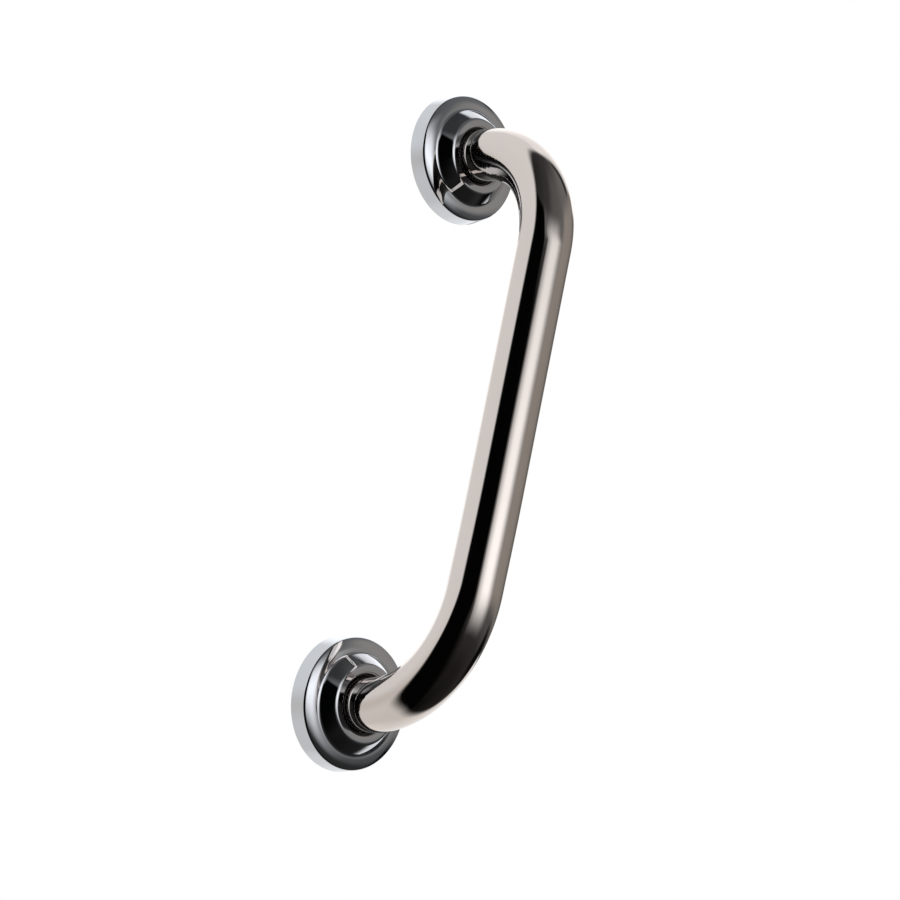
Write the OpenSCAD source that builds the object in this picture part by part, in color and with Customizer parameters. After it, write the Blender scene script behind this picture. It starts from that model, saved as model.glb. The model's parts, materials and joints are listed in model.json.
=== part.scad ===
// Grab rail: one bent tube, held off the wall by two legs with concealed fixings.
//
// Each leg ends on a steel wall plate. A machine screw from the back of the plate
// pulls it onto a threaded insert in the tube, a pin stops it turning, and a
// chromed cover slides along the leg to hide it. The wall screws go through the
// three open holes of each plate, under its cover.
//
// Frame: the origin is the centre of the lower wall plate, on the wall's face.
// +Z runs up along the grip, and the rail stands out from the wall towards -Y.
// The round pieces of a leg are drawn with the wall at z = 0 and the leg along +Z.
// on_leg() then lays them on the wall at the lower or the upper leg.

/* [Rail] */
// Distance between the two legs, centre to centre
leg_spacing = 300; // [200:10:600]
// Distance from the wall to the middle of the grip
stand_off = 80; // [80:1:100]
// Outside diameter of the tube
tube_d = 28; // [26:0.5:30]
// Wall thickness of the tube
tube_wall = 1.5; // [1.2:0.1:2]
// Radius of the bends, along the middle of the tube
bend_r = 60; // [50:1:60]

/* [Cover] */
// Diameter of the cover where it meets the wall
cover_d = 70; // [70:0.5:72]
// Height of the cover's rim at its rounded edge
rim_h = 9.3; // [9.1:0.05:9.4]
// Height of the cover's neck above the wall
neck_h = 17.5; // [17:0.25:18.5]
// Angle of the cover's cone, from the leg's axis
cone_angle = 41.75; // [40.5:0.25:42.5]
// Thickness of the cover's walls
cover_wall = 1.2; // [1:0.1:1.3]
// Gap between the tube and the neck's lip
neck_gap = 1.4; // [1.2:0.1:1.6]

/* [Wall plate] */
// Diameter of the wall plate
plate_d = 64; // [62:0.5:64]
// Thickness of the wall plate
plate_t = 5; // [4.5:0.25:5]
// Thickness of the gasket behind the plate
gasket_t = 1.5; // [1:0.25:1.5]
// Diameter of the circle that the wall screws are on
screw_circle_d = 46; // [45:0.5:48]
// Diameter of a wall screw's hole
screw_hole_d = 5.5; // [4.5:0.25:6]
// Diameter of a wall screw's countersink
screw_head_d = 10.5; // [9:0.25:11]

/* [Hidden] */
$fn = 96;

through = 1;                        // how far a cutting tool runs past a face

// Tube and leg, as heights above the wall
tube_r = tube_d / 2;
bore_r = tube_r - tube_wall;
leg_h = stand_off - bend_r;         // where the straight leg ends and the bend starts
plate_front = gasket_t + plate_t;   // the face that the tube's end stands on
grip_l = leg_spacing - 2 * bend_r;

// Cover, outside: rim, crowned shoulder, cone and rolled lip
cover_r = cover_d / 2;
foot_r = tube_r + 13.05;            // where the shoulder meets the cone's fillet
shoulder_r = cover_r - 2;           // where the shoulder meets the rim's edge
rim_inner_r = cover_r - 2.45;       // inside of the rim, under the shoulder
slope_in = 2.5;                     // the crowned shoulder's slope at the cone
slope_out = 25.5;                   // and at the rim
edge_r = 1.5;
foot_fillet = 2.4;
lip_outer_r = 2.6;
lip_inner_r = 1.2;
lip_bore_r = tube_r + neck_gap;
crown_r = (shoulder_r - foot_r) / (sin(slope_out) - sin(slope_in));
crown_mid = [shoulder_r, rim_h] - crown_r * [sin(slope_out), cos(slope_out)];
foot_h = crown_mid[1] + crown_r * cos(slope_in);
edge_mid = [shoulder_r, rim_h] - edge_r * [sin(slope_out), cos(slope_out)];
fillet_mid = [foot_r, foot_h] + foot_fillet * [sin(slope_in), cos(slope_in)];
cone_foot = fillet_mid - foot_fillet * [cos(cone_angle), sin(cone_angle)];
cone_top_h = neck_h - lip_outer_r * (1 - sin(cone_angle));
cone_top_r = cone_foot[0] - (cone_top_h - cone_foot[1]) * tan(cone_angle);
lip_outer_mid = [cone_top_r - lip_outer_r * cos(cone_angle), neck_h - lip_outer_r];
lip_inner_mid = [lip_bore_r + lip_inner_r, neck_h - lip_inner_r];

// Guide ring, and the collar inside the neck that holds it
guide_clear = 0.4;                  // between the ring and the tube
guide_run = 0.1;                    // between the ring and the cover that turns on it
guide_end_gap = 0.3;
guide_h = 3;
guide_outer_r = tube_r + 2.95;
seat_r = guide_outer_r + guide_run;
lip_under_h = neck_h - 1.8;
guide_top = lip_under_h - guide_end_gap;
guide_foot = guide_top - guide_h;
bead_h = 0.7;
bead_r = seat_r - 0.45;
bead_top = guide_foot - guide_end_gap;
collar_r = seat_r + 1.3;
collar_root_h = neck_h - 2.9;

// Wall plate and the pieces that hold it to the tube
spigot_h = 3;
spigot_clear = 0.1;
plate_edge = 0.6;
o_ring_r = 1.25;                    // radius of the ring's own section
o_ring_mid_r = plate_d / 2 - 0.45;
o_ring_h = gasket_t + 2.5;
groove_w = 2.8;
insert_l = 10;
insert_foot = plate_front + spigot_h;
thread_r = 4;
thread_clear = 0.1;
centre_head_r = 8;
centre_screw_l = 17;
hex_across = 5;
hex_depth = 3;
pin_r = 1.5;
pin_clear = 0.05;
pin_offset = 8;
pin_foot = gasket_t + 2.5;
pin_l = 10;
gasket_bore_r = 9;

function arc(mid, r, from, to, steps) =
    [for (i = [0 : steps]) let (a = from + (to - from) * i / steps) mid + r * [cos(a), sin(a)]];

module on_leg(z) {
    translate([0, 0, z]) rotate([90, 0, 0]) children();
}

module both_legs() {
    children();
    translate([0, 0, leg_spacing]) mirror([0, 0, 1]) children();
}

module screw_places() {
    for (a = [90, 210, 330]) rotate([0, 0, a]) translate([screw_circle_d / 2, 0, 0]) children();
}

// ---- Tube ----

// One leg with its bend, as a solid rod of the given radius
module leg_and_bend(r) {
    on_leg(0) translate([0, 0, plate_front]) cylinder(r = r, h = leg_h - plate_front);
    translate([0, -leg_h, bend_r])
        rotate([0, 90, 180])
            rotate_extrude(angle = 90) translate([bend_r, 0]) circle(r = r);
}

module tube_run(r) {
    both_legs() leg_and_bend(r);
    translate([0, -stand_off, bend_r]) cylinder(r = r, h = grip_l);
}

module grip_tube() {
    color([0.80, 0.78, 0.76])
        difference() {
            tube_run(tube_r);
            tube_run(bore_r);
        }
}

// ---- Pieces of one leg ----

module cover_outline() {
    polygon(concat(
        [[cover_r, 0]],
        arc(edge_mid, edge_r, 8, 90 - slope_out, 5),
        arc(crown_mid, crown_r, 90 - slope_out * 7 / 8, 90 - slope_in, 7),
        arc(fillet_mid, foot_fillet, -100 - slope_in, -180 + cone_angle, 4),
        arc(lip_outer_mid, lip_outer_r, cone_angle, 90, 6),
        arc(lip_inner_mid, lip_inner_r, 90, 180, 6),
        [
            [lip_bore_r, lip_under_h],
            [seat_r, lip_under_h],
            [seat_r, bead_top],
            [bead_r, bead_top],
            [bead_r, bead_top - bead_h],
            [collar_r, bead_top - bead_h],
            [collar_r, collar_root_h],
            [inner_cone_r(collar_root_h), collar_root_h],
            [inner_cone_r(foot_h - cover_wall), foot_h - cover_wall],
            [rim_inner_r, rim_h - cover_wall],
            [cover_r - cover_wall, 0]
        ]
    ));
}

// Radius of the cone's inner face at a height, one wall inside its outer face
function inner_cone_r(h) =
    cone_foot[0] - (h - cone_foot[1]) * tan(cone_angle) - cover_wall / cos(cone_angle);

module cover() {
    color([0.82, 0.84, 0.88]) rotate_extrude() cover_outline();
}

module guide_ring() {
    color([0.08, 0.08, 0.08])
        translate([0, 0, guide_foot])
            difference() {
                cylinder(r = guide_outer_r, h = guide_h);
                translate([0, 0, -through])
                    cylinder(r = tube_r + guide_clear, h = guide_h + 2 * through);
            }
}

// The plate's section: chamfered edge, groove for the ring, and spigot
module plate_outline() {
    polygon([
        [0, gasket_t],
        [plate_d / 2, gasket_t],
        [plate_d / 2, o_ring_h - groove_w / 2],
        [o_ring_mid_r - o_ring_r, o_ring_h - groove_w / 2],
        [o_ring_mid_r - o_ring_r, o_ring_h + groove_w / 2],
        [plate_d / 2, o_ring_h + groove_w / 2],
        [plate_d / 2, plate_front - plate_edge],
        [plate_d / 2 - plate_edge, plate_front],
        [bore_r - spigot_clear, plate_front],
        [bore_r - spigot_clear, plate_front + spigot_h],
        [0, plate_front + spigot_h]
    ]);
}

module wall_screw_hole() {
    sink_h = (screw_head_d - screw_hole_d) / 2;
    cylinder(d = screw_hole_d, h = plate_front + through);
    translate([0, 0, plate_front - sink_h])
        cylinder(d1 = screw_hole_d, d2 = screw_head_d, h = sink_h);
    translate([0, 0, plate_front]) cylinder(d = screw_head_d, h = through);
}

module wall_plate() {
    bore = thread_r + thread_clear;
    sink_r = centre_head_r + thread_clear;
    color([0.62, 0.63, 0.64])
        difference() {
            rotate_extrude() plate_outline();
            screw_places() wall_screw_hole();
            cylinder(r = bore, h = insert_foot + through);
            translate([0, 0, gasket_t - through]) cylinder(r = sink_r, h = through);
            translate([0, 0, gasket_t]) cylinder(r1 = sink_r, r2 = bore, h = sink_r - bore);
            translate([0, -pin_offset, pin_foot]) cylinder(r = pin_r + pin_clear, h = pin_l);
        }
}

module plate_gasket() {
    color([0.12, 0.12, 0.12])
        difference() {
            cylinder(d = plate_d, h = gasket_t);
            translate([0, 0, -through]) cylinder(r = gasket_bore_r, h = gasket_t + 2 * through);
            screw_places()
                translate([0, 0, -through]) cylinder(d = screw_hole_d, h = gasket_t + 2 * through);
        }
}

module cover_o_ring() {
    color([0.06, 0.06, 0.06])
        translate([0, 0, o_ring_h])
            rotate_extrude() translate([o_ring_mid_r, 0]) circle(r = o_ring_r);
}

module tube_insert() {
    color([0.70, 0.70, 0.68])
        difference() {
            translate([0, 0, insert_foot]) cylinder(r = bore_r, h = insert_l);
            cylinder(r = thread_r, h = leg_h + 2 * insert_l);
            translate([0, -pin_offset, pin_foot]) cylinder(r = pin_r + pin_clear, h = pin_l);
        }
}

// Countersunk machine screw with a hexagon socket, its head against the gasket's side
module centre_screw() {
    color([0.55, 0.55, 0.56])
        difference() {
            translate([0, 0, gasket_t]) {
                cylinder(r1 = centre_head_r, r2 = thread_r, h = centre_head_r - thread_r);
                cylinder(r = thread_r, h = centre_screw_l);
            }
            translate([0, 0, gasket_t - through])
                cylinder(d = hex_across / cos(30), h = hex_depth + through, $fn = 6);
        }
}

module locating_pin() {
    color([0.75, 0.75, 0.76])
        translate([0, -pin_offset, pin_foot]) cylinder(r = pin_r, h = pin_l);
}

// ---- The two legs ----

module upper_cover() { on_leg(leg_spacing) cover(); }
module lower_cover() { on_leg(0) cover(); }
module upper_guide_ring() { on_leg(leg_spacing) guide_ring(); }
module lower_guide_ring() { on_leg(0) guide_ring(); }
module upper_wall_plate() { on_leg(leg_spacing) wall_plate(); }
module lower_wall_plate() { on_leg(0) wall_plate(); }
module upper_plate_gasket() { on_leg(leg_spacing) plate_gasket(); }
module lower_plate_gasket() { on_leg(0) plate_gasket(); }
module upper_cover_o_ring() { on_leg(leg_spacing) cover_o_ring(); }
module lower_cover_o_ring() { on_leg(0) cover_o_ring(); }
module upper_tube_insert() { on_leg(leg_spacing) tube_insert(); }
module lower_tube_insert() { on_leg(0) tube_insert(); }
module upper_centre_screw() { on_leg(leg_spacing) centre_screw(); }
module lower_centre_screw() { on_leg(0) centre_screw(); }
module upper_locating_pin() { on_leg(leg_spacing) locating_pin(); }
module lower_locating_pin() { on_leg(0) locating_pin(); }

grip_tube();
upper_cover();
lower_cover();
upper_guide_ring();
lower_guide_ring();
upper_wall_plate();
lower_wall_plate();
upper_plate_gasket();
lower_plate_gasket();
upper_cover_o_ring();
lower_cover_o_ring();
upper_tube_insert();
lower_tube_insert();
upper_centre_screw();
lower_centre_screw();
upper_locating_pin();
lower_locating_pin();
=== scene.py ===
"""Looks of the grab rail: mirror-polished tube, chromed covers and the fixings under them."""

import json
import math

import bpy
from mathutils import Matrix, Vector

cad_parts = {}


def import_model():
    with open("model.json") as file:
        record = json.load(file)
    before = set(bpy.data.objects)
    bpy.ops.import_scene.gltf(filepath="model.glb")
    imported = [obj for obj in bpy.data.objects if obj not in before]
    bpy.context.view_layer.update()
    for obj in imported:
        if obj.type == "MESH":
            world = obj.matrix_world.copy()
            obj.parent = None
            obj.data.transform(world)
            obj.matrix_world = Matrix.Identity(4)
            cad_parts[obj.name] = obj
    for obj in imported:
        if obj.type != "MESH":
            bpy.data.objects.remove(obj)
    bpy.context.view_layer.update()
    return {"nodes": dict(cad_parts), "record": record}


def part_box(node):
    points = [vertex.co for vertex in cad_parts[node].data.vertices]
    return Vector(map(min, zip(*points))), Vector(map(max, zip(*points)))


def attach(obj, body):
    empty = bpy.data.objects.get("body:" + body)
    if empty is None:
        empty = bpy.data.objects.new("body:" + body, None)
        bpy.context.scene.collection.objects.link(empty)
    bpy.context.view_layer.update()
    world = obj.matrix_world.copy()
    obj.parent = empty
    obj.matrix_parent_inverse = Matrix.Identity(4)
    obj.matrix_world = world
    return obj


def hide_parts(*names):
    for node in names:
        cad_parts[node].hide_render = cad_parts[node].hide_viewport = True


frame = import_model()

# ---- Sizes, in metres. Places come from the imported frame. ----

MM = 0.001
TUBE_LO, TUBE_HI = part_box("grip_tube")
TUBE_R = (TUBE_HI.x - TUBE_LO.x) / 2
TUBE_WALL = 1.5 * MM
BEND_R = 60 * MM
STAND_OFF = -TUBE_LO.y - TUBE_R
LEG_Z = {end: sum(c.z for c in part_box(end + "_cover")) / 2 for end in ("lower", "upper")}
LEG_H = STAND_OFF - BEND_R
TUBE_FOOT = -TUBE_HI.y
COVER_R = (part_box("lower_cover")[1].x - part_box("lower_cover")[0].x) / 2
NECK_H = -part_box("lower_cover")[0].y

# ---- Mesh helpers ----


def arc(mid, r, start, end, steps):
    """Points round an arc, angles in degrees."""
    angles = [math.radians(start + (end - start) * i / steps) for i in range(steps + 1)]
    return [(mid[0] + r * math.cos(a), mid[1] + r * math.sin(a)) for a in angles]


def new_mesh(name, verts, faces, sharp_deg=35):
    mesh = bpy.data.meshes.new(name)
    mesh.from_pydata(verts, [], faces)
    mesh.update()
    mesh.shade_smooth()
    mesh.set_sharp_from_angle(angle=math.radians(sharp_deg))
    piece = bpy.data.objects.new(name, mesh)
    bpy.context.scene.collection.objects.link(piece)
    return piece


def grid_faces(rows, cols, close_rows):
    """Quads of a grid whose columns close on themselves, and its rows too if asked."""
    last = rows if close_rows else rows - 1
    faces = []
    for i in range(last):
        a, b = i * cols, (i + 1) % rows * cols
        faces += [(a + j, a + (j + 1) % cols, b + (j + 1) % cols, b + j) for j in range(cols)]
    return faces


def turned(name, outline, leg_z, around=192, sharp_deg=35):
    """A closed outline of (radius, height) turned round a leg's axis, height out from the wall."""
    verts = []
    for r, h in outline:
        for j in range(around):
            a = 2 * math.pi * j / around
            verts.append((r * math.cos(a), -h, leg_z + r * math.sin(a)))
    return new_mesh(name, verts, grid_faces(len(outline), around, True), sharp_deg)


# ---- Tube ----

BEND_STEPS = 72
GRIP_STEPS = 40
TUBE_AROUND = 160
EASE = 0.9 * MM
EASE_TOP = 110 * MM
EASE_SKEW = 0.75
EASE_ALONG = 0.5


def leg_and_bend_rings():
    """Centre, outward normal and bend share of each ring from the foot to the end of the bend."""
    rings = [((0, -(TUBE_FOOT + (LEG_H - TUBE_FOOT) * i / 4), 0), (0, 0, -1), 0.0) for i in range(4)]
    for i in range(BEND_STEPS + 1):
        a = math.pi / 2 * i / BEND_STEPS
        out = (0, -math.sin(a), -math.cos(a))
        centre = (0, -LEG_H + BEND_R * out[1], BEND_R * (1 + out[2]))
        rings.append((centre, out, math.sin(2 * a)))
    return rings


def tube_rings():
    low, high = LEG_Z["lower"], LEG_Z["upper"]
    lower = [(Vector(c) + Vector((0, 0, low)), Vector(n), s) for c, n, s in leg_and_bend_rings()]
    upper = [
        (Vector((0, c[1], high - c[2])), Vector((0, n[1], -n[2])), s)
        for c, n, s in reversed(leg_and_bend_rings())
    ]
    a, b = lower[-1][0], upper[0][0]
    grip = [(a.lerp(b, i / GRIP_STEPS), Vector((0, -1, 0)), 0.0) for i in range(1, GRIP_STEPS)]
    return [(ease_lower_bend(centre, low), out, share) for centre, out, share in lower + grip + upper]


def ease_lower_bend(centre, low):
    """The lower bend runs out into the grip a little more slowly than a true arc."""
    height = centre.z - low
    if not 0 < height < EASE_TOP:
        return centre
    pull = EASE * math.sin(math.pi * (height / EASE_TOP) ** EASE_SKEW) ** 2
    return centre + Vector((0, pull, pull * EASE_ALONG))


def make_tube():
    rings = tube_rings()
    verts = []
    for r, order in ((TUBE_R, rings), (TUBE_R - TUBE_WALL, rings[::-1])):
        for centre, out, share in order:
            for j in range(TUBE_AROUND):
                a = 2 * math.pi * j / TUBE_AROUND
                verts.append(centre + out * (r * math.cos(a)) + Vector((r * math.sin(a), 0, 0)))
    return new_mesh("polished_tube", verts, grid_faces(2 * len(rings), TUBE_AROUND, True), 40)


# ---- Cover ----

RIM_H = 9.3 * MM
FOOT_R = TUBE_R + 13.05 * MM
SHOULDER_R = COVER_R - 2 * MM
SLOPE_IN = 2.5
SLOPE_OUT = 25.5
EDGE_R = 1.5 * MM
FOOT_FILLET = 2.4 * MM
FLANK_FOOT = 39.5
FLANK_LIP = 44
LIP_OUTER = 2.6 * MM
LIP_INNER = 1.2 * MM
LIP_BORE = TUBE_R + 1.4 * MM
COVER_WALL = 1.2 * MM
SEAT_R = TUBE_R + 3.05 * MM
SEAT_WALL = 1.3 * MM
SEAT_DROP = 1.8 * MM
SEAT_DEPTH = 3.6 * MM
ROOT_DROP = 2.9 * MM
BEAD_H = 0.7 * MM
BEAD_OUT = 0.45 * MM
CORNER_IN = 2.45 * MM
EDGE_START = 8
CROWN_LAP = 0.97
FILLET_START = -94


def cover_outline():
    """Outline of the cover from the wall up over its shoulder, flank and lip, then back inside."""
    foot_tilt, lip_tilt = math.radians(FLANK_FOOT), math.radians(FLANK_LIP)
    slope_in, slope_out = math.radians(SLOPE_IN), math.radians(SLOPE_OUT)
    crown_r = (SHOULDER_R - FOOT_R) / (math.sin(slope_out) - math.sin(slope_in))
    crown_mid = (FOOT_R - crown_r * math.sin(slope_in), RIM_H - crown_r * math.cos(slope_out))
    foot_h = crown_mid[1] + crown_r * math.cos(slope_in)
    edge_mid = (SHOULDER_R - EDGE_R * math.sin(slope_out), RIM_H - EDGE_R * math.cos(slope_out))
    fillet_mid = (FOOT_R + FOOT_FILLET * math.sin(slope_in), foot_h + FOOT_FILLET * math.cos(slope_in))
    low_r = fillet_mid[0] - FOOT_FILLET * math.cos(foot_tilt)
    low_h = fillet_mid[1] - FOOT_FILLET * math.sin(foot_tilt)
    high_h = NECK_H - LIP_OUTER * (1 - math.sin(lip_tilt))
    flank_r = (high_h - low_h) / (math.sin(lip_tilt) - math.sin(foot_tilt))
    flank_mid = (low_r - flank_r * math.cos(foot_tilt), low_h - flank_r * math.sin(foot_tilt))
    high_r = flank_mid[0] + flank_r * math.cos(lip_tilt)
    lip_mid = (high_r - LIP_OUTER * math.cos(lip_tilt), NECK_H - LIP_OUTER)
    inner_mid = (LIP_BORE + LIP_INNER, NECK_H - LIP_INNER)

    root = NECK_H - ROOT_DROP
    seat_top = NECK_H - SEAT_DROP
    bead_top = seat_top - SEAT_DEPTH
    bead_low = bead_top - BEAD_H
    inner_h = foot_h - COVER_WALL
    inner_root = high_r - (root - high_h) * math.tan(lip_tilt) - COVER_WALL / math.cos(lip_tilt)
    return (
        [(COVER_R, 0)]
        + arc(edge_mid, EDGE_R, EDGE_START, 90 - SLOPE_OUT, 10)
        + arc(crown_mid, crown_r, 90 - SLOPE_OUT * CROWN_LAP, 90 - SLOPE_IN, 24)
        + arc(fillet_mid, FOOT_FILLET, FILLET_START - SLOPE_IN, -180 + FLANK_FOOT, 10)
        + arc(flank_mid, flank_r, FLANK_FOOT, FLANK_LIP, 24)[1:-1]
        + arc(lip_mid, LIP_OUTER, FLANK_LIP, 90, 20)
        + arc(inner_mid, LIP_INNER, 90, 180, 14)
        + [(LIP_BORE, seat_top), (SEAT_R, seat_top), (SEAT_R, bead_top)]
        + [(SEAT_R - BEAD_OUT, bead_top), (SEAT_R - BEAD_OUT, bead_low)]
        + [(SEAT_R + SEAT_WALL, bead_low), (SEAT_R + SEAT_WALL, root), (inner_root, root)]
        + [(low_r - COVER_WALL / math.cos(foot_tilt), inner_h), (COVER_R - CORNER_IN, RIM_H - COVER_WALL)]
        + [(COVER_R - COVER_WALL, 0)]
    )


# ---- Guide rings and O-rings ----


def guide_outline(node):
    """Ring with eased edges, filling the box that the CAD gives it."""
    lo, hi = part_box(node)
    outer, inner = (hi.x - lo.x) / 2, TUBE_R + 0.4 * MM
    foot, top, ease = -hi.y, -lo.y, 0.35 * MM
    return (
        arc((outer - ease, foot + ease), ease, -90, 0, 5)
        + arc((outer - ease, top - ease), ease, 0, 90, 5)
        + arc((inner + ease, top - ease), ease, 90, 180, 5)
        + arc((inner + ease, foot + ease), ease, 180, 270, 5)
    )


def o_ring_outline(node):
    lo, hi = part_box(node)
    r = (hi.y - lo.y) / 2
    return arc(((hi.x - lo.x) / 2 - r, -(hi.y + lo.y) / 2), r, 0, 360, 28)[:-1]


# ---- Node graphs ----


class Graph:
    """Short calls that add nodes to a node tree and link them."""

    def __init__(self, tree):
        self.tree = tree

    def node(self, kind, inputs=None, **settings):
        made = self.tree.nodes.new("ShaderNode" + kind)
        for key, value in settings.items():
            setattr(made, key, value)
        for key, value in (inputs or {}).items():
            self.put(value, made.inputs[key])
        return made

    def put(self, value, socket):
        if isinstance(value, bpy.types.NodeSocket):
            self.tree.links.new(value, socket)
        else:
            socket.default_value = value

    def calc(self, operation, *values):
        return self.node("Math", dict(enumerate(values)), operation=operation).outputs[0]

    def smooth(self, value, start, end, low=0.0, high=1.0):
        """Eases from low at start to high at end."""
        places = {"Value": value, "From Min": start, "From Max": end, "To Min": low, "To Max": high}
        return self.node("MapRange", places, interpolation_type="SMOOTHSTEP").outputs[0]

    def band(self, value, rise, fall):
        """1 between two eased edges, each given as (start, end)."""
        return self.calc("MULTIPLY", self.smooth(value, *rise), self.smooth(value, *fall, 1.0, 0.0))

    def over(self, under, colour, share):
        """colour laid over under, by share."""
        mix = self.node("Mix", data_type="RGBA")
        self.put(share, mix.inputs[0])
        self.put(under, mix.inputs[6])
        self.put(colour, mix.inputs[7])
        return mix.outputs[2]

    def ramp(self, value, stops):
        """Colour along value, which runs from the first stop's place to the last's."""
        first, last = stops[0][0], stops[-1][0]
        share = self.node("MapRange", {"Value": value, "From Min": first, "From Max": last}).outputs[0]
        made = self.node("ValToRGB", {"Fac": share})
        made.color_ramp.interpolation = "EASE"
        elements = made.color_ramp.elements
        while len(elements) < len(stops):
            elements.new(0.5)
        for element, (place, colour) in zip(elements, stops):
            element.position = (place - first) / (last - first)
            element.color = colour
        return made.outputs[0]


# ---- Materials ----


def start(name, metallic, place="Object"):
    """A new material: its graph, its shader and the coordinates that its patterns use."""
    mat = bpy.data.materials.new(name)
    mat.use_nodes = True
    g = Graph(mat.node_tree)
    shader = mat.node_tree.nodes["Principled BSDF"]
    shader.inputs["Metallic"].default_value = metallic
    return mat, g, shader, g.node("TexCoord").outputs[place]


def noise(g, where, scale, detail=2.0, stretch=(1, 1, 1)):
    """Noise from 0 to 1 at scale per metre, drawn out along any axis whose stretch is small."""
    mapped = g.node("Mapping", {"Vector": where, "Scale": stretch}).outputs[0]
    return g.node("TexNoise", {"Vector": mapped, "Scale": scale, "Detail": detail}).outputs["Fac"]


def tint(g, shader, value, low, high):
    """Base colour between two tones as value goes from 0.3 to 0.7."""
    ramp = g.node("ValToRGB", {"Fac": value})
    for element, place, colour in zip(ramp.color_ramp.elements, (0.3, 0.7), (low, high)):
        element.position = place
        element.color = (*colour, 1)
    g.put(ramp.outputs[0], shader.inputs["Base Color"])


def gloss(g, shader, value, low, high):
    """Roughness between low and high as value goes from 0.3 to 0.7."""
    g.put(g.smooth(value, 0.3, 0.7, low, high), shader.inputs["Roughness"])


def relief(g, shader, *layers):
    """Bump layers, each a height from 0 to 1 and its depth in metres."""
    normal = None
    for height, depth in layers:
        bump = g.node("Bump", {"Height": height, "Distance": depth})
        if normal:
            g.put(normal, bump.inputs["Normal"])
        normal = bump.outputs[0]
    g.put(normal, shader.inputs["Normal"])


def mirror_steel():
    """Polished tube: warm, with faint drawing lines along it and a little ripple near its ends."""
    mat, g, shader, place = start("mirror_steel", 1.0)
    cloud = noise(g, place, 45, 3)
    lines = noise(g, place, 900, 2, (1, 1, 0.02))
    tint(g, shader, cloud, (0.875, 0.805, 0.765), (0.895, 0.825, 0.785))
    gloss(g, shader, lines, 0.035, 0.075)
    depth = g.node("SeparateXYZ", {0: place}).outputs[1]
    near = g.smooth(depth, -0.062, -0.030, 0.0, 1.0)
    ripple = g.calc("MULTIPLY", noise(g, place, 170, 1), near)
    relief(g, shader, (ripple, 0.00005), (cloud, 0.00002), (lines, 0.0000008))
    return mat


def bright_chrome():
    """Plated covers: cooler, a little uneven, with a few fine wiping marks round them."""
    mat, g, shader, place = start("bright_chrome", 1.0)
    cloud = noise(g, place, 90, 3)
    marks = noise(g, place, 1500, 3)
    tint(g, shader, cloud, (0.795, 0.825, 0.875), (0.815, 0.845, 0.895))
    gloss(g, shader, marks, 0.015, 0.045)
    relief(g, shader, (cloud, 0.000012), (marks, 0.0000004))
    return mat


def turned_steel(name, low, high, ring_pitch, rough):
    """Lathe-turned faces: fine rings about the leg's axis, from the piece's own box."""
    mat, g, shader, place = start(name, 1.0, "Generated")
    centred = g.node("VectorMath", {0: place, 1: (0.5, 0.5, 0.5)}, operation="SUBTRACT").outputs[0]
    flat = g.node("VectorMath", {0: centred, 1: (1, 0, 1)}, operation="MULTIPLY").outputs[0]
    radius = g.node("VectorMath", {0: flat}, operation="LENGTH").outputs["Value"]
    along = g.node("SeparateXYZ", {0: centred}).outputs[1]
    spiral = g.calc("ADD", radius, g.calc("MULTIPLY", along, 0.3))
    rings = g.calc("MULTIPLY_ADD", g.calc("SINE", g.calc("MULTIPLY", spiral, ring_pitch)), 0.5, 0.5)
    cloud = noise(g, place, 9, 4)
    tint(g, shader, cloud, low, high)
    gloss(g, shader, cloud, rough, rough + 0.14)
    relief(g, shader, (rings, 0.000012), (cloud, 0.00001))
    return mat


def moulded(name, low, high, rough, grain, depth):
    """Nylon or rubber: two close tones, a matt skin and a fine grain."""
    mat, g, shader, place = start(name, 0.0)
    skin = noise(g, place, grain, 4)
    tint(g, shader, noise(g, place, grain / 6, 3), low, high)
    gloss(g, shader, skin, rough, rough + 0.2)
    relief(g, shader, (skin, depth))
    return mat


def dress(piece, mat):
    piece.data.materials.clear()
    piece.data.materials.append(mat)


FINISHES = {
    "tube": mirror_steel(),
    "cover": bright_chrome(),
    "guide_ring": moulded(
        "black_nylon", (0.010, 0.010, 0.011), (0.022, 0.021, 0.020), 0.28, 2600, 0.00001
    ),
    "plate": turned_steel("turned_steel", (0.50, 0.49, 0.48), (0.60, 0.59, 0.58), 420, 0.22),
    "gasket": moulded("flat_rubber", (0.018, 0.018, 0.018), (0.035, 0.034, 0.033), 0.6, 1800, 0.00004),
    "o_ring": moulded("smooth_rubber", (0.010, 0.010, 0.010), (0.020, 0.019, 0.019), 0.4, 3000, 0.00001),
    "insert": turned_steel("turned_insert", (0.46, 0.45, 0.43), (0.56, 0.55, 0.53), 160, 0.26),
    "screw": turned_steel("satin_screw", (0.40, 0.40, 0.41), (0.52, 0.52, 0.53), 110, 0.30),
    "pin": turned_steel("ground_pin", (0.58, 0.58, 0.59), (0.66, 0.66, 0.67), 40, 0.14),
}
INSIDE = turned_steel("dull_chrome", (0.40, 0.41, 0.42), (0.48, 0.49, 0.50), 420, 0.40)
SLOT_OF = {row["node"]: row["material_slot"] for row in frame["record"]["subparts"]}


def add_piece(piece, body, node):
    """Puts a piece on its body in place of a CAD node, in that node's finish."""
    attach(piece, body)
    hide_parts(node)
    dress(piece, FINISHES[SLOT_OF[node]])


def dull_inside(cover, leg_z, mat):
    """The inside of a cover, under its lip, is left unpolished."""
    cover.data.materials.append(mat)
    for face in cover.data.polygons:
        away = Vector((face.center.x, 0, face.center.z - leg_z))
        faces_in = face.normal.dot(away) < 0 or face.normal.y > 0.5
        if faces_in and away.length > SEAT_R * 0.97:
            face.material_index = 1


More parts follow.
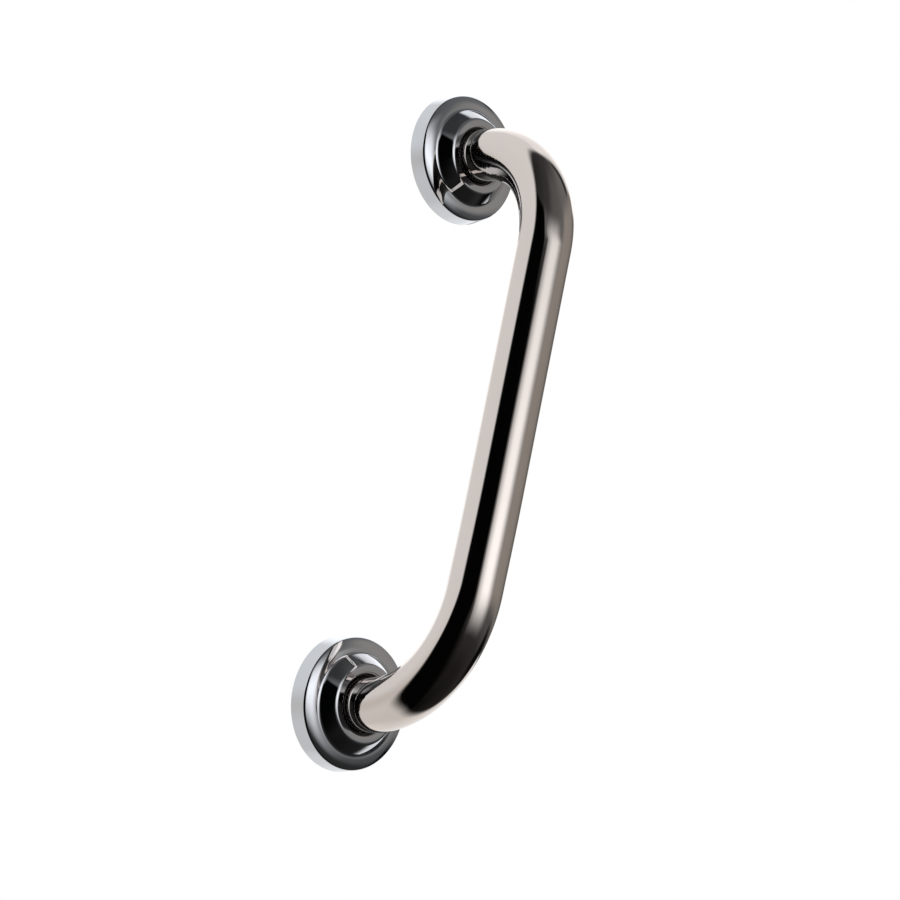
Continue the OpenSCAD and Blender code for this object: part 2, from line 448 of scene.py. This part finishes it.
add_piece(make_tube(), "rail", "grip_tube")
for end in ("lower", "upper"):
    leg_z = LEG_Z[end]
    cover = turned(end + "_chrome_cover", cover_outline(), leg_z)
    add_piece(cover, end + "_cover_shell", end + "_cover")
    dull_inside(cover, leg_z, INSIDE)
    ring = turned(end + "_nylon_ring", guide_outline(end + "_guide_ring"), leg_z)
    add_piece(ring, end + "_guide", end + "_guide_ring")
    loop = turned(end + "_rubber_loop", o_ring_outline(end + "_cover_o_ring"), leg_z)
    add_piece(loop, "rail", end + "_cover_o_ring")

for name, node in frame["nodes"].items():
    if not node.hide_render:
        dress(node, FINISHES[SLOT_OF[name]])

# ---- Stage ----

FLOOR_Z = -0.5
FLOOR_HALF = 8


def grey(level, warm=0.0):
    """A light's colour: positive warm takes out blue."""
    return (level, level * (1 - 0.5 * warm), level * (1 - warm), 1)


def world():
    """A studio in directions only: azimuth 0 is -Y and 90 is +X, elevation 90 is up, in degrees."""
    made = bpy.data.worlds.new("studio")
    bpy.context.scene.world = made
    made.use_nodes = True
    made.cycles.sampling_method = "MANUAL"
    made.cycles.sample_map_resolution = 256
    g = Graph(made.node_tree)
    made.node_tree.nodes.clear()
    way = g.node("SeparateXYZ", {0: g.node("TexCoord").outputs["Generated"]}).outputs
    turn = math.degrees(1)
    azimuth = g.calc("MULTIPLY", g.calc("ARCTAN2", way[0], g.calc("MULTIPLY", way[1], -1.0)), turn)
    elevation = g.calc("MULTIPLY", g.calc("ARCSINE", way[2]), turn)

    # Floor, walls and ceiling of the room round the camera, dark below and dim above
    room = g.ramp(
        elevation,
        [
            (-90, grey(0.004)),
            (-50, grey(0.012, 0.1)),
            (-25, grey(0.025, 0.05)),
            (-8, grey(0.075)),
            (3, grey(0.14, 0.05)),
            (12, grey(0.14)),
            (40, grey(0.11)),
        ],
    )
    ceiling = g.ramp(
        azimuth,
        [(-100, grey(0.02)), (-55, grey(0.036)), (-15, grey(0.09)), (60, grey(0.14))],
    )
    ceiling = g.over(ceiling, grey(0.035), g.smooth(elevation, 58, 90))
    colour = g.over(room, ceiling, g.smooth(elevation, 28, 42))
    # A black curtain to the left, up to a rail that slopes down towards the lamp
    curtain_top = g.smooth(azimuth, -72, -42, 38, 20)
    above = g.smooth(g.calc("SUBTRACT", elevation, curtain_top), -3, 3)
    curtain_start = g.smooth(elevation, -20, 5, -54, -38)
    curtain_end = g.smooth(elevation, -20, 5, -12, -30)
    beside = g.smooth(azimuth, curtain_start, curtain_end)
    colour = g.over(grey(0.001), colour, g.calc("MAXIMUM", above, beside))
    # A grey-brown wall to the right, with a dark doorway under it and a dark beam over it
    wall = g.calc("MULTIPLY", g.smooth(azimuth, 22, 46), g.band(elevation, (-4, 9), (34, 50)))
    wall_tone = g.ramp(
        azimuth,
        [
            (45, grey(0.265, 0.15)),
            (78, grey(0.25, 0.15)),
            (88, grey(0.22, 0.15)),
            (106, grey(0.14, 0.16)),
        ],
    )
    colour = g.over(colour, wall_tone, wall)
    doorway = g.calc("MULTIPLY", g.smooth(azimuth, 64, 75), g.band(elevation, (-34, -18), (-9, 1)))
    colour = g.over(colour, grey(0.003), doorway)
    beam = g.calc("MULTIPLY", g.smooth(azimuth, 67, 75), g.band(elevation, (42, 47), (68, 80)))
    colour = g.over(colour, grey(0.025), beam)
    # The soft lamp, hard at its left edge
    across = g.calc("SUBTRACT", azimuth, g.smooth(elevation, 17, 27, 4.0, -12.0))
    lamp = g.calc("MULTIPLY", g.smooth(across, -42, -8, 0.16, 1.0), g.band(across, (-36, -31), (4, 38)))
    lamp = g.calc("MULTIPLY", lamp, g.band(elevation, (-26, 10), (6, 40)))
    colour = g.over(colour, grey(1.16), lamp)
    # The white ground behind the rail, brightest behind it to the right
    plain = g.ramp(
        elevation,
        [
            (-75, grey(0.60, 0.05)),
            (-40, grey(0.62, 0.05)),
            (-15, grey(0.56, 0.08)),
            (12, grey(0.68)),
            (60, grey(0.71)),
        ],
    )
    bright = g.ramp(
        elevation,
        [
            (-75, grey(0.60, 0.05)),
            (-45, grey(0.73, 0.05)),
            (-20, grey(0.82)),
            (5, grey(1.0)),
            (35, grey(1.2)),
            (70, grey(0.85)),
        ],
    )
    off_middle = g.calc("COSINE", g.calc("DIVIDE", g.calc("SUBTRACT", azimuth, 138.0), turn))
    ground = g.over(plain, bright, g.smooth(off_middle, 0.7, 0.96))
    left_edge = g.smooth(elevation, -85, -15, 0.13, 0.42)
    left_edge = g.calc("SUBTRACT", left_edge, g.smooth(elevation, -4, 14, 0, 0.25))
    right_edge = g.calc("MULTIPLY", g.band(elevation, (-8, 6), (16, 32)), 0.52)
    right_edge = g.calc("ADD", right_edge, g.smooth(elevation, 33, 45, 0.17, 0.0))
    right_edge = g.calc("SUBTRACT", right_edge, g.smooth(elevation, -80, -45, 0.03, 0.0))
    side = g.smooth(way[0], -0.3, 0.3)
    edge = g.calc("ADD", left_edge, g.calc("MULTIPLY", side, g.calc("SUBTRACT", right_edge, left_edge)))
    softness = g.smooth(elevation, -65, -20, 0.10, 0.07)
    past_edge = g.calc("DIVIDE", g.calc("SUBTRACT", way[1], edge), softness)
    colour = g.over(colour, ground, g.smooth(past_edge, -1, 1))

    # Matt surfaces get an even, soft light, and the camera sees plain white
    rays = g.node("LightPath").outputs
    shown = g.over(colour, grey(0.95), rays["Is Diffuse Ray"])
    shown = g.over(shown, (1, 1, 1, 1), rays["Is Camera Ray"])
    out = g.node("Background", {"Color": shown})
    end_node = g.node("OutputWorld")
    g.put(out.outputs[0], end_node.inputs[0])


def floor():
    """A pale floor well under the rail, with a soft unevenness."""
    verts = [(x * FLOOR_HALF, y * FLOOR_HALF, FLOOR_Z) for x in (-1, 1) for y in (-1, 1)]
    ground = new_mesh("floor", verts, [(0, 2, 3, 1)])
    mat, g, shader, place = start("pale_floor", 0.0)
    cloud = noise(g, place, 3, 4)
    tint(g, shader, cloud, (0.84, 0.84, 0.835), (0.88, 0.88, 0.875))
    gloss(g, shader, cloud, 0.7, 0.9)
    relief(g, shader, (noise(g, place, 400, 3), 0.0002))
    dress(ground, mat)
    ground.visible_glossy = False


def camera():
    """Camera at azimuth, elevation and distance about a point on the rail's own plane."""
    aim = Vector((0, -40.6 * MM, 133.9 * MM))
    away = 1.1268
    azimuth = math.radians(-41.62)
    elevation = math.radians(-13.40)
    roll = math.radians(11.58)
    back = Vector(
        (
            math.sin(azimuth) * math.cos(elevation),
            -math.cos(azimuth) * math.cos(elevation),
            math.sin(elevation),
        )
    )
    data = bpy.data.cameras.new("camera")
    data.lens = 88.2
    data.sensor_width = 36
    data.clip_end = 50
    cam = bpy.data.objects.new("camera", data)
    bpy.context.scene.collection.objects.link(cam)
    turn = Matrix.Rotation(roll, 4, back)
    facing = (-back).to_track_quat("-Z", "Y").to_matrix().to_4x4()
    cam.matrix_world = Matrix.Translation(aim + back * away) @ (turn @ facing)
    bpy.context.scene.camera = cam


world()
floor()
camera()
bpy.context.scene.view_settings.view_transform = "Standard"
